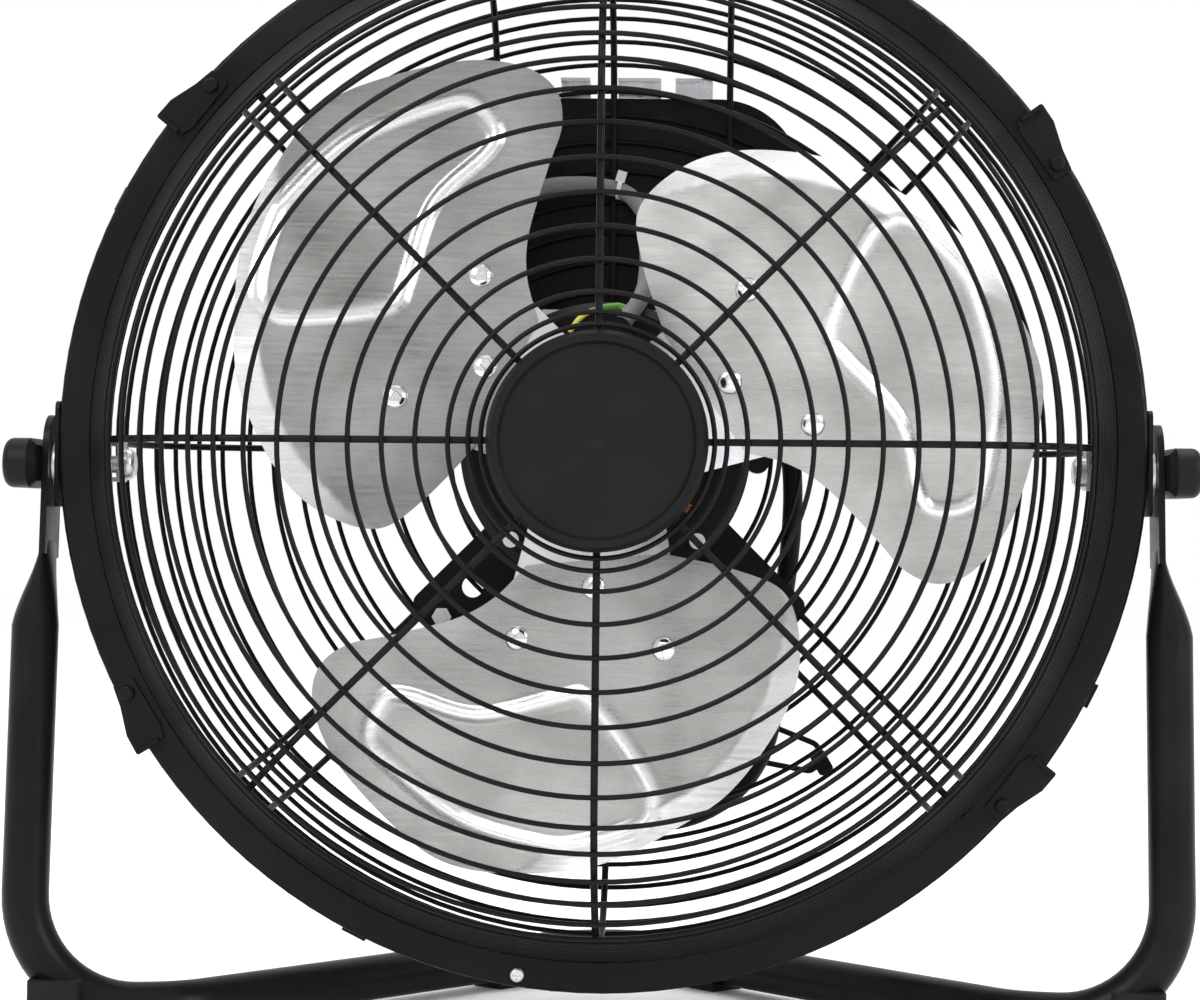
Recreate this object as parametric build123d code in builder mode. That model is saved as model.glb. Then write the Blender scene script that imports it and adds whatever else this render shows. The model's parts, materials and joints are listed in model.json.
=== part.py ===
from build123d import *
from math import atan2, cos, degrees, radians, sin, sqrt, tan
import os

os.makedirs("parts", exist_ok=True)

# A round twelve-inch floor fan. A wire cage hangs by two side pivots in a stand that is bent from
# one tube, and its motor, switch box and stored cord are carried behind the rear cage.
# Millimetres. X is to the right, Y to the back, Z up. The origin is on the floor, under the middle
# of the fan. Most places are given from the middle of the rim, as right, up and back.

# Driving dimensions
axis_height = 203.0
rim_depth = -39.87
rim_radius = 188.0
sheet = 1.2
pivot_up = -8.0
wire = 0.9
spoke = 1.25
hoop = 1.6
screw_gap = 0.05
body_gap = 0.3
cord_radius = 3.75
tube_radius = 8.0
tube_wall = 1.2
pivot_height = axis_height + pivot_up
blade_angles = [27, 147, 267]
diagonals = [45, 135, 225, 315]


def at(right, up, back):
    """A point that is given from the middle of the rim."""
    return (right, rim_depth + back, axis_height + up)


def facing(back, right=0, up=0, angle=0):
    """A plane that faces the front, with its x turned up from the right by an angle."""
    turn = radians(angle)
    return Plane(origin=at(right, up, back), x_dir=(cos(turn), 0, sin(turn)), z_dir=(0, -1, 0))


def section(angle=0, aside=0):
    """A plane through the rotor axis or beside it: x outwards at an angle, y to the back."""
    turn = radians(angle)
    origin = at(-aside * sin(turn), aside * cos(turn), 0)
    return Plane(origin=origin, x_dir=(cos(turn), 0, sin(turn)), z_dir=(-sin(turn), 0, cos(turn)))


def outward(right, side):
    """A plane beside a pivot: x is across, y is up, and its normal leaves the cage."""
    origin = (side * right, rim_depth, pivot_height)
    return Plane(origin=origin, x_dir=(0, side, 0), z_dir=(side, 0, 0))


def start_of(path):
    """The plane across the start of a path."""
    return Plane(origin=path @ 0, z_dir=path % 0)


def polar(radius, angle):
    """Right and up of a place at a radius from the rotor axis."""
    return (radius * cos(radians(angle)), radius * sin(radians(angle)))


axle = Axis(at(0, 0, 0), (0, 1, 0))

# Stand: one tube, with flattened ends that hold the pivots, in a V on the floor
lean = 17 / 185
stand_corners = [(195.5, -17, 10), (143, -9, 10), (0, 155, 10), (-143, -9, 10), (-195.5, -17, 10)]
stand_bends = [38, 28, 35, 28, 38]
upright_top = 139
spade_start = 168
spade_inside = 190.7
spade_sheet = 2.2
spade_wide = 22
pivot_bolt = 3.0
pivot_running = 0.06


def stand_at(right, back, height):
    """A point of the stand, with its depth taken from the rim."""
    return (right, rim_depth + back, height)


def lean_back(height):
    """Depth of the leaning uprights at a height."""
    return (height - pivot_height) * lean


def across_upright(right, height):
    """A plane across a leaning upright, with its x to the back."""
    origin = stand_at(right, lean_back(height), height)
    return Plane(origin=origin, x_dir=(0, 1, -lean), z_dir=(0, lean, 1))


def stand_path():
    """The bent centre line of the stand tube."""
    top = lean_back(upright_top)
    right_end = stand_at(195.5, top, upright_top)
    left_end = stand_at(-195.5, top, upright_top)
    corners = [stand_at(*corner) for corner in stand_corners]
    return FilletPolyline(right_end, *corners, left_end, radius=stand_bends)


# Height, distance from the middle, and half the thickness and width of each section
flattening = [
    (148, 194.6, 6.2, 9.0),
    (157, 193.1, 3.7, 10.2),
    (164, 192.1, 2.0, 11.0),
    (spade_start, 191.8, 1.4, 11.3),
]
vent_back = 136.8

with BuildPart() as stand_tube:
    with BuildSketch(across_upright(stand_corners[0][0], upright_top)):
        Circle(tube_radius)
    for height, right, half_thick, half_wide in flattening:
        with BuildSketch(across_upright(right, height)):
            Ellipse(half_wide, half_thick)
    loft()
    spade_plane = Plane(
        origin=(spade_inside, rim_depth, pivot_height), x_dir=(0, 1, -lean), z_dir=(1, 0, 0)
    )
    with BuildSketch(spade_plane):
        with Locations((0, -13)):
            Rectangle(spade_wide, 38)
        with Locations((0, 6)):
            Circle(spade_wide / 2)
        Circle(pivot_bolt + pivot_running, mode=Mode.SUBTRACT)
    extrude(amount=spade_sheet)
    mirror(about=Plane.YZ)
    with BuildLine():
        tube_line = stand_path()
    with BuildSketch(start_of(tube_line)):
        Circle(tube_radius)
        Circle(tube_radius - tube_wall, mode=Mode.SUBTRACT)
    sweep()
    with BuildSketch(Plane.XY.offset(1)):
        with Locations((0, rim_depth + vent_back)):
            Circle(1.5)
    extrude(amount=5, mode=Mode.SUBTRACT)
stand_tube.part.label = "stand_tube"
export_step(stand_tube.part, "parts/stand_tube.step")

with BuildPart() as front_feet:
    with BuildSketch(Plane.XY):
        with Locations((183, rim_depth - 17), (-183, rim_depth - 17)):
            RectangleRounded(18, 20, 3)
    extrude(amount=20)
    with BuildLine():
        saddle_line = stand_path()
    with BuildSketch(start_of(saddle_line)):
        Circle(tube_radius + screw_gap)
    sweep(mode=Mode.SUBTRACT)
front_feet.part.label = "front_feet"
export_step(front_feet.part, "parts/front_feet.step")

rear_foot_along = 0.72
rear_foot_length = 16
leg_run = (143, 164)

with BuildPart() as rear_feet:
    right = leg_run[0] * (1 - rear_foot_along)
    back = -9 + leg_run[1] * rear_foot_along
    for side in (-1, 1):
        across = (-leg_run[1], -side * leg_run[0], 0)
        along = (-side * leg_run[0], leg_run[1], 0)
        with BuildSketch(Plane(origin=stand_at(side * right, back, 10), x_dir=across, z_dir=along)):
            Circle(10)
            with Locations((0, -8)):
                Rectangle(14, 4)
            Circle(tube_radius + screw_gap, mode=Mode.SUBTRACT)
        extrude(amount=rear_foot_length / 2, both=True)
rear_feet.part.label = "rear_feet"
export_step(rear_feet.part, "parts/rear_feet.step")

# Wire cages: rings with eight flats on the outside, welded where they touch the spokes inside
ring_radii = [42.6, 49.3, 60.1, 71.1, 82.3, 93.8, 105.5, 116.6, 126.6, 135.3, 144.8, 152.7, 160.3, 166.1]
front_flat = -57.4
front_turn = 117
front_bend = 60
rear_flat = 84.1
rear_turn = 118
rear_bend = 58
spoke_inset = wire + spoke
front_wall = [(168, -29), (175.8, -9.5)]
front_wall_rings = 7
rear_wall_rings = [(175.1, 32), (176.5, 22.5), (177.4, 14.5)]
front_hoop = (178, -5.2)
rear_hoop = (178.7, 9.2)


def dome(radius, flat, turn, bend):
    """Depth of a cage ring, which is flat out to a turn and then on an arc towards the rim."""
    reach = max(radius - turn, 0)
    rise = bend - sqrt(bend**2 - reach**2)
    return flat + rise if flat < 0 else flat - rise


with BuildPart() as front_rings:
    with BuildSketch(section()):
        for radius in [30, 38.5] + ring_radii:
            with Locations((radius, dome(radius, front_flat, front_turn, front_bend))):
                RegularPolygon(wire, 8, major_radius=False, rotation=22.5)
        for step in range(front_wall_rings):
            share = step / (front_wall_rings - 1)
            (first_radius, first_back), (last_radius, last_back) = front_wall
            radius = first_radius + (last_radius - first_radius) * share
            back = first_back + (last_back - first_back) * share
            with Locations((radius, back)):
                RegularPolygon(wire, 8, major_radius=False, rotation=22.5)
        with Locations(front_hoop):
            Circle(hoop)
    revolve(axis=axle)

with BuildPart() as front_spokes:
    for step in range(8):
        with BuildLine(section(45 * step)):
            front_spoke = FilletPolyline(
                (24, front_flat + spoke_inset),
                (154, front_flat + spoke_inset),
                (175.3, -5.5),
                radius=front_bend - spoke_inset,
            )
        with BuildSketch(start_of(front_spoke)):
            Circle(spoke)
        sweep()

# The welded wires stay separate solids in one piece
front_grille = Compound(label="front_grille", children=[front_rings.part, front_spokes.part])
export_step(front_grille, "parts/front_grille.step")

# Angle, distance to the side and inner end of each rear wire
rear_wires = [(0, 0, 38), (180, 0, 38), (270, 0, 38), (90, 0, 38), (90, 43.5, 52), (90, -43.5, 52)]
for diagonal in diagonals:
    rear_wires += [(diagonal, 8, 40), (diagonal, -8, 40)]

with BuildPart() as rear_rings:
    with BuildSketch(section()):
        for radius in ring_radii + [171, 174]:
            with Locations((radius, dome(radius, rear_flat, rear_turn, rear_bend))):
                RegularPolygon(wire, 8, major_radius=False, rotation=22.5)
        with Locations(*rear_wall_rings):
            RegularPolygon(wire, 8, major_radius=False, rotation=22.5)
        with Locations(rear_hoop):
            Circle(hoop)
    revolve(axis=axle)

with BuildPart() as rear_spokes:
    for angle, aside, inner in rear_wires:
        with BuildLine(section(angle, aside)):
            rear_spoke = FilletPolyline(
                (inner, rear_flat - spoke_inset),
                (sqrt(166.1**2 - aside**2), rear_flat - spoke_inset),
                (sqrt(176**2 - aside**2), 9.6),
                radius=rear_bend - spoke_inset,
            )
        with BuildSketch(start_of(rear_spoke)):
            Circle(spoke)
        sweep()

rear_grille = Compound(label="rear_grille", children=[rear_rings.part, rear_spokes.part])
export_step(rear_grille, "parts/rear_grille.step")

# Rim: a C-shaped band that closes over the outer hoop of each cage
rim_front = -8.0
rim_back = 12.0
latch_radius = 184.3
latch_angles = {"upper_right": 32.3, "upper_left": 138.0, "lower_left": 208.1, "lower_right": 318.5}
latch_rivet = 1.6
rim_screw_place = (-27.4, -181.5)
clip_angles = [63.4, 153.4, 243.4, 333.4]
clip_radius = 184.5
badge_front = -65.0
badge_back = -58.4
backing_front = -54.0

with BuildPart() as rim_band:
    with BuildSketch(section()):
        with BuildLine():
            Polyline(
                (177.5, rim_front), (rim_radius, rim_front), (rim_radius, rim_back),
                (178, rim_back), (178, rim_back - sheet), (rim_radius - sheet, rim_back - sheet),
                (rim_radius - sheet, rim_front + sheet), (177.5, rim_front + sheet), close=True,
            )
        make_face()
        fillet(vertices().group_by(Axis.X)[-1], radius=1.6)
    revolve(axis=axle)
    for side in (-1, 1):
        with BuildSketch(outward(180, side)):
            Circle(pivot_bolt + screw_gap)
        extrude(amount=12, mode=Mode.SUBTRACT)
    with BuildSketch(facing(rim_front + 3)):
        for angle in latch_angles.values():
            with Locations(polar(latch_radius, angle)):
                Circle(latch_rivet + screw_gap)
        with Locations(rim_screw_place):
            Circle(1.5 + screw_gap)
    extrude(amount=5, mode=Mode.SUBTRACT)
rim_band.part.label = "rim_band"
export_step(rim_band.part, "parts/rim_band.step")

with BuildPart() as cage_screws:
    with BuildSketch(facing(-2, *rim_screw_place)):
        Circle(1.5)
    extrude(amount=6)
    with BuildSketch(facing(rim_front, *rim_screw_place)):
        Circle(2.5)
    extrude(amount=2)
    fillet(edges().sort_by(Axis.Y)[0], radius=1)
    with BuildSketch(facing(rim_front - 1, *rim_screw_place)):
        Rectangle(3, 0.7)
        Rectangle(0.7, 3)
    extrude(amount=2, mode=Mode.SUBTRACT)
    with BuildSketch(facing(backing_front + 2)):
        Circle(2)
    extrude(amount=7.2)
    with BuildSketch(facing(backing_front + 4)):
        Circle(4)
    extrude(amount=2)
cage_screws.part.label = "cage_screws"
export_step(cage_screws.part, "parts/cage_screws.step")

# Latches turn on rivets in the rim and hold the front cage. Along the rim, then inwards.
latch_outline = [(-4.5, -3.2), (-4.5, 4), (15, 5.2), (20, 4), (20.6, -6.6), (13, -6.8), (3, -4.2)]
latch_front = rim_front - body_gap
latch_sheet = 1.0


def latch(angle):
    """A flat latch that reaches along the rim from its rivet, with its free end bent forward."""
    place = polar(latch_radius, angle)
    with BuildPart() as piece:
        with BuildSketch(facing(latch_front, *place, angle=angle + 90)):
            Polygon(*latch_outline, align=None)
            fillet(vertices(), radius=0.9)
            Circle(latch_rivet + 0.06, mode=Mode.SUBTRACT)
        extrude(amount=latch_sheet)
        with BuildSketch(facing(latch_front, *place, angle=angle + 90)):
            with Locations((19.4, -1.2)):
                Rectangle(1.2, 8)
        extrude(amount=3.4)
    return piece


for name, angle in latch_angles.items():
    catch = latch(angle)
    catch.part.label = f"latch_{name}"
    export_step(catch.part, f"parts/latch_{name}.step")

with BuildPart() as latch_rivets:
    for angle in latch_angles.values():
        place = polar(latch_radius, angle)
        with BuildSketch(facing(rim_front + 2.2, *place)):
            Circle(latch_rivet)
        extrude(amount=2.2 + 2 * body_gap + latch_sheet + 0.2)
        with BuildSketch(facing(latch_front - latch_sheet - body_gap, *place)):
            Circle(2.65)
        extrude(amount=1.4)
    fillet(edges().group_by(Axis.Y)[0], radius=0.9)
latch_rivets.part.label = "latch_rivets"
export_step(latch_rivets.part, "parts/latch_rivets.step")

with BuildPart() as rear_clips:
    for angle in clip_angles:
        place = polar(clip_radius, angle)
        with BuildSketch(facing(rim_back + 1, *place, angle=angle)):
            with Locations((1, 0)):
                RectangleRounded(11, 9, 1)
        extrude(amount=1)
        with BuildSketch(facing(rim_back + 1, *place, angle=angle)):
            with Locations((5.9, 0)):
                Rectangle(1.2, 9)
        extrude(amount=7)
rear_clips.part.label = "rear_clips"
export_step(rear_clips.part, "parts/rear_clips.step")

# Pivots: a bolt from inside the cage goes through the rim and the stand into a wing knob
channel_web = 167.0
bolt_head = 4.5
washer_out = 189.4
knob_inside = spade_inside + spade_sheet + body_gap
knob_outside = 204.0
knob_bore_end = 200.5

with BuildPart() as pivot_channels:
    for side in (-1, 1):
        with BuildSketch(outward(channel_web, side)):
            with Locations((side * 2, 2)):
                Rectangle(10.6, 16)
            Circle(pivot_bolt + screw_gap, mode=Mode.SUBTRACT)
        extrude(amount=1.5)
        with BuildSketch(outward(channel_web, side)):
            with Locations((side * 2, 9.25), (side * 2, -5.25)):
                Rectangle(10.6, 1.5)
        extrude(amount=19.4)
pivot_channels.part.label = "pivot_channels"
export_step(pivot_channels.part, "parts/pivot_channels.step")

with BuildPart() as pivot_plates:
    for side in (-1, 1):
        with BuildSketch(outward(rim_radius, side)):
            with Locations((side * 2, 3.4)):
                RectangleRounded(19, 36.6, 3)
            Circle(pivot_bolt + screw_gap, mode=Mode.SUBTRACT)
        extrude(amount=washer_out - rim_radius)
pivot_plates.part.label = "pivot_plates"
export_step(pivot_plates.part, "parts/pivot_plates.step")

for side, name in ((-1, "left"), (1, "right")):
    with BuildPart() as tilt_knob:
        with BuildSketch(outward(knob_inside, side)):
            SlotOverall(50, 17)
        extrude(amount=knob_outside - knob_inside)
        fillet(faces().sort_by(Axis.X)[-1 if side > 0 else 0].edges(), radius=3)
        chamfer(faces().sort_by(Axis.X)[0 if side > 0 else -1].edges(), length=2.4)
        with BuildSketch(outward(knob_inside - 1, side)):
            Circle(pivot_bolt + pivot_running)
        extrude(amount=knob_bore_end - knob_inside + 1, mode=Mode.SUBTRACT)
    tilt_knob.part.label = f"tilt_knob_{name}"
    export_step(tilt_knob.part, f"parts/tilt_knob_{name}.step")

# Each bolt carries its washer, which is a separate solid
with BuildPart() as pivot_bolts:
    for side in (-1, 1):
        with BuildSketch(outward(channel_web - bolt_head, side)):
            Circle(5.5)
        extrude(amount=bolt_head)
    fillet(edges().filter_by(lambda edge: abs(abs(edge.center().X) - channel_web) > 1), radius=2.5)
    for side in (-1, 1):
        with BuildSketch(outward(channel_web - 1, side)):
            Circle(pivot_bolt)
        extrude(amount=knob_bore_end - 0.5 - channel_web + 1)
        with BuildSketch(outward(washer_out, side)):
            Circle(8)
            Circle(pivot_bolt + screw_gap, mode=Mode.SUBTRACT)
        extrude(amount=spade_inside - body_gap - washer_out)
pivot_bolts.part.label = "pivot_bolts"
export_step(pivot_bolts.part, "parts/pivot_bolts.step")

# Hub badge: a dished disc in a bevelled ring, screwed to a plate behind the spokes
with BuildPart() as hub_badge:
    with BuildSketch(section()):
        with BuildLine():
            Polyline(
                (0, -60), (31, -60), (31, badge_back), (36.5, badge_back), (36.5, -62.2),
                (35, badge_front), (32.6, badge_front), (31.6, -63.4), (24, -62.7), (0, -62.4),
                close=True,
            )
        make_face()
    revolve(axis=axle)
    with BuildSketch(facing(backing_front)):
        Circle(6)
    extrude(amount=6.5)
    with BuildSketch(facing(backing_front + 0.5)):
        Circle(2 + screw_gap)
    extrude(amount=6, mode=Mode.SUBTRACT)
hub_badge.part.label = "hub_badge"
export_step(hub_badge.part, "parts/hub_badge.step")

with BuildPart() as badge_backing:
    with BuildSketch(facing(backing_front + 2)):
        Circle(32)
        Circle(2 + screw_gap, mode=Mode.SUBTRACT)
    extrude(amount=2)
badge_backing.part.label = "badge_backing"
export_step(badge_backing.part, "parts/badge_backing.step")

# Motor: two shells around a wound stator, on a cross-shaped plate
motor_radius = 51.5
motor_wall = 1.6
motor_front = 18.0
motor_split = 45.0
motor_back = 73.0
bearing_radius = 9.0
shaft_radius = 4.0
screw_circle = 46.5
motor_screw = 1.5
plate_front = 79.25
plate_back = 80.75

with BuildPart() as motor_front_shell:
    with BuildSketch(section()):
        with BuildLine():
            Polyline(
                (6, 11.4), (11, 11.4), (11, motor_front), (48.5, motor_front), (motor_radius, 21),
                (motor_radius, motor_split), (49.9, motor_split), (49.9, 21.7), (47.8, 19.6),
                (bearing_radius, 19.6), (bearing_radius, 13), (6, 13), close=True,
            )
        make_face()
    revolve(axis=axle)
    with BuildSketch(facing(20)):
        with PolarLocations(32, 10):
            SlotOverall(15, 3.6)
    extrude(amount=3, mode=Mode.SUBTRACT)
    with BuildSketch(facing(20)):
        with PolarLocations(screw_circle, 4, start_angle=45):
            Circle(motor_screw + screw_gap)
    extrude(amount=3, mode=Mode.SUBTRACT)
    with BuildSketch(facing(motor_front, 4.2, 40.8)):
        Circle(5)
    extrude(amount=6.6)
    with BuildSketch(facing(34)):
        with Locations((54, -4.5)):
            Circle(4.2)
        Circle(50.5, mode=Mode.SUBTRACT)
    extrude(amount=12)
motor_front_shell.part.label = "motor_front_shell"
export_step(motor_front_shell.part, "parts/motor_front_shell.step")

with BuildPart() as motor_rear_shell:
    with BuildSketch(section()):
        with BuildLine():
            Polyline(
                (motor_radius, motor_split), (motor_radius, 70), (48.5, motor_back), (0, motor_back),
                (0, 71.4), (bearing_radius, 71.4), (bearing_radius, 64), (11, 64), (11, 71.4),
                (47.8, 71.4), (49.9, 69.3), (49.9, motor_split), close=True,
            )
        make_face()
    revolve(axis=axle)
    with BuildSketch(facing(motor_back + 1)):
        with PolarLocations(screw_circle, 4, start_angle=45):
            Circle(motor_screw + screw_gap)
    extrude(amount=4, mode=Mode.SUBTRACT)
motor_rear_shell.part.label = "motor_rear_shell"
export_step(motor_rear_shell.part, "parts/motor_rear_shell.step")

with BuildPart() as stator:
    with BuildSketch(facing(60)):
        Circle(49.85)
        Circle(24.2, mode=Mode.SUBTRACT)
        with PolarLocations(30.5, 12):
            SlotOverall(13, 4.4, mode=Mode.SUBTRACT)
        with PolarLocations(screw_circle, 4, start_angle=45):
            Circle(motor_screw + screw_gap, mode=Mode.SUBTRACT)
    extrude(amount=30)
stator.part.label = "stator"
export_step(stator.part, "parts/stator.step")

with BuildPart() as stator_windings:
    with BuildSketch(section()):
        with Locations((33.5, 25.5), (33.5, 64.5)):
            RectangleRounded(13, 8.9, 2.5)
    revolve(axis=axle)
stator_windings.part.label = "stator_windings"
export_step(stator_windings.part, "parts/stator_windings.step")

with BuildPart() as motor_bearings:
    for back in (19, 70):
        with BuildSketch(facing(back)):
            Circle(bearing_radius)
            Circle(shaft_radius + 0.04, mode=Mode.SUBTRACT)
        extrude(amount=6)
motor_bearings.part.label = "motor_bearings"
export_step(motor_bearings.part, "parts/motor_bearings.step")

with BuildPart() as motor_screws:
    with BuildSketch(facing(84)):
        with PolarLocations(screw_circle, 4, start_angle=45):
            Circle(motor_screw)
    extrude(amount=66.5)
    with BuildSketch(facing(motor_front)):
        with PolarLocations(screw_circle, 4, start_angle=45):
            Circle(2.8)
    extrude(amount=1.5)
    with BuildSketch(facing(plate_back + 2.35)):
        with PolarLocations(screw_circle, 4, start_angle=45):
            RegularPolygon(2.8, 6)
    extrude(amount=2.35)
motor_screws.part.label = "motor_screws"
export_step(motor_screws.part, "parts/motor_screws.step")

with BuildPart() as motor_spacers:
    with BuildSketch(facing(plate_front)):
        with PolarLocations(screw_circle, 4, start_angle=45):
            Circle(3.2)
            Circle(motor_screw + screw_gap, mode=Mode.SUBTRACT)
    extrude(amount=plate_front - motor_back)
motor_spacers.part.label = "motor_spacers"
export_step(motor_spacers.part, "parts/motor_spacers.step")

# The plate is bolted to the doubled rear wires by a bar across each pair
bar_radii = {45: 54.7, 135: 54.7, 225: 87.9, 315: 87.9}
bar_front = rear_flat - spoke_inset + spoke
bar_back = bar_front + 1.9
bar_screw = 2.0

with BuildPart() as motor_bracket:
    with BuildSketch(facing(plate_back)):
        Circle(50)
        for diagonal in diagonals:
            with Locations(Location((0, 0), diagonal)):
                with Locations((70, 0)):
                    RectangleRounded(46, 25, 4)
        Circle(22, mode=Mode.SUBTRACT)
        for diagonal in diagonals:
            with Locations(polar(screw_circle, diagonal)):
                Circle(motor_screw + screw_gap, mode=Mode.SUBTRACT)
            with Locations(polar(bar_radii[diagonal], diagonal)):
                Circle(bar_screw + screw_gap, mode=Mode.SUBTRACT)
            with Locations(polar(72, diagonal)):
                Circle(4, mode=Mode.SUBTRACT)
    extrude(amount=plate_back - plate_front)
motor_bracket.part.label = "motor_bracket"
export_step(motor_bracket.part, "parts/motor_bracket.step")

with BuildPart() as clamp_bars:
    for diagonal in diagonals:
        with BuildSketch(facing(bar_back, *polar(bar_radii[diagonal], diagonal), angle=diagonal)):
            RectangleRounded(8, 22, 1.2)
            Circle(bar_screw + screw_gap, mode=Mode.SUBTRACT)
        extrude(amount=bar_back - bar_front)
clamp_bars.part.label = "clamp_bars"
export_step(clamp_bars.part, "parts/clamp_bars.step")

with BuildPart() as clamp_screws:
    for diagonal in diagonals:
        place = polar(bar_radii[diagonal], diagonal)
        with BuildSketch(facing(bar_back, *place)):
            Circle(bar_screw)
        extrude(amount=bar_back - 76)
        with BuildSketch(facing(bar_back + 2.4, *place)):
            Circle(3.6)
        extrude(amount=2.4)
        with BuildSketch(facing(plate_front, *place)):
            RegularPolygon(3.7, 6)
        extrude(amount=2.6)
clamp_screws.part.label = "clamp_screws"
export_step(clamp_screws.part, "parts/clamp_screws.step")

# Rotor: shaft, core, spider and three riveted blades
with BuildPart() as motor_shaft:
    with BuildSketch(facing(70.5)):
        Circle(shaft_radius)
    extrude(amount=94.5)
    chamfer(edges().group_by(Axis.Y)[0], length=0.6)
motor_shaft.part.label = "motor_shaft"
export_step(motor_shaft.part, "parts/motor_shaft.step")

with BuildPart() as rotor_core:
    with BuildSketch(facing(60)):
        Circle(23.5)
        Circle(shaft_radius, mode=Mode.SUBTRACT)
    extrude(amount=30)
rotor_core.part.label = "rotor_core"
export_step(rotor_core.part, "parts/rotor_core.step")

blade_sheet = 1.2
spider_sheet = 1.6
blade_lift = 6.0
blade_pitch = 0.249
blade_camber = 1 / 1800
rivet_places = [(49, 0), (68.4, 25.6), (68.4, -25.6)]
rivet_shank = 2.0

# Outline of a blade, outwards and then across towards its leading side
blade_outline = [
    (36, 24), (40, 49), (47.5, 66), (68, 71.5), (88.8, 66.9), (112, 53), (125.6, 37.7), (142.4, 10),
    (149, -20), (147.7, -45.1), (137, -64), (116.4, -86.1), (98, -96), (84, -95.5), (75, -86),
    (70.4, -70.4), (62.9, -47.4), (54.5, -34.1), (43, -24),
]
arm_outline = [(0, -18), (76, -34), (80, -28), (80, 28), (76, 34), (0, 18)]


def lift(across):
    """How far forward of the rim's middle a blade lies, at a distance across it."""
    return blade_lift + blade_pitch * across + blade_camber * across**2


def strip(angle, low, high):
    """A pitched and cambered sheet at a blade's angle, between two offsets forward of it."""
    turn = radians(angle)
    outwards = (cos(turn), 0, sin(turn))
    across = (-sin(turn), 0, cos(turn))
    ends = (-102, 0, 78)
    below = [(place, lift(place) + low) for place in ends]
    above = [(place, lift(place) + high) for place in ends]
    with BuildPart() as piece:
        with BuildSketch(Plane(origin=at(0, 0, 0), x_dir=across, z_dir=outwards)):
            with BuildLine():
                ThreePointArc(*below)
                Line(below[-1], above[-1])
                ThreePointArc(*above)
                Line(above[0], below[0])
            make_face()
        extrude(amount=160)
    return piece.part


def rivet_plane(angle, outwards, across):
    """A plane that lies on a blade's back face, at a rivet."""
    turn = radians(angle)
    right = outwards * cos(turn) - across * sin(turn)
    up = outwards * sin(turn) + across * cos(turn)
    slope = blade_pitch + 2 * blade_camber * across
    normal = (slope * sin(turn), -1, -slope * cos(turn))
    origin = at(right, up, -lift(across))
    return Plane(origin=origin, x_dir=(cos(turn), 0, sin(turn)), z_dir=normal)


for number, angle in enumerate(blade_angles, start=1):
    blade_strip = strip(angle, 0, blade_sheet)
    with BuildPart() as blade:
        with BuildSketch(facing(20, angle=angle)):
            with BuildLine():
                Spline(*blade_outline)
                Line(blade_outline[-1], blade_outline[0])
            make_face()
        extrude(amount=60)
        add(blade_strip, mode=Mode.INTERSECT)
        for place in rivet_places:
            with BuildSketch(rivet_plane(angle, *place).offset(-4)):
                Circle(rivet_shank + screw_gap)
            extrude(amount=8, mode=Mode.SUBTRACT)
    blade.part.label = f"blade_{number}"
    export_step(blade.part, f"parts/blade_{number}.step")

arms = []
for angle in blade_angles:
    arm_strip = strip(angle, -spider_sheet, 0)
    with BuildPart() as arm:
        with BuildSketch(facing(20, angle=angle)):
            Polygon(*arm_outline, align=None)
        extrude(amount=60)
        add(arm_strip, mode=Mode.INTERSECT)
    arms.append(arm.part)

with BuildPart() as blade_spider:
    for arm_part in arms:
        add(arm_part)
    with BuildSketch(facing(8)):
        Circle(13)
    extrude(amount=22)
    with BuildSketch(facing(9)):
        Circle(shaft_radius)
    extrude(amount=24, mode=Mode.SUBTRACT)
    for angle in blade_angles:
        for place in rivet_places:
            with BuildSketch(rivet_plane(angle, *place).offset(-4)):
                Circle(rivet_shank + screw_gap)
            extrude(amount=8, mode=Mode.SUBTRACT)
blade_spider.part.label = "blade_spider"
export_step(blade_spider.part, "parts/blade_spider.step")

with BuildPart() as blade_rivets:
    for angle in blade_angles:
        for place in rivet_places:
            seat = rivet_plane(angle, *place)
            with BuildSketch(seat.offset(-spider_sheet - 1.2)):
                Circle(3.4)
            extrude(amount=1.2)
            with BuildSketch(seat.offset(-spider_sheet - 0.5)):
                Circle(rivet_shank)
            extrude(amount=spider_sheet + blade_sheet + 1)
            with BuildSketch(seat.offset(blade_sheet)):
                Circle(4.5)
            with BuildSketch(seat.offset(blade_sheet + 1.7)):
                Circle(2.6)
            loft()
blade_rivets.part.label = "blade_rivets"
export_step(blade_rivets.part, "parts/blade_rivets.step")

with BuildPart() as hub_nut:
    with BuildSketch(facing(-14)):
        Circle(9)
    extrude(amount=1.5)
    with BuildSketch(facing(-15.5)):
        RegularPolygon(7.5, 6)
    extrude(amount=5)
    with BuildSketch(facing(-13)):
        Circle(shaft_radius)
    extrude(amount=9, mode=Mode.SUBTRACT)
hub_nut.part.label = "hub_nut"
export_step(hub_nut.part, "parts/hub_nut.step")

# Switch box on the rear cage, with its cover, switch, capacitor and fixings
box_middle = 93.25
box_wide = 142.6
box_tall = 79.9
box_wall = 2.0
box_front = 85.05
box_split = 108.0
box_back = 120.0
switch_up = 93.0
lead_hole = (-34, 94)
gland_right = 60.5
box_bottom = box_middle - box_tall / 2
cord_back = 98.0
cover_screws = [(-60, 62), (60, 62), (-44, 122), (44, 122)]
clip_screws = [(-51, 100), (51, 100)]


def box_outline():
    """The outline of the switch box, round-shouldered at the top."""
    Rectangle(box_wide, box_tall)
    fillet(vertices().group_by(Axis.Y)[0], radius=4)
    fillet(vertices().group_by(Axis.Y)[-1], radius=32)


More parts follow.
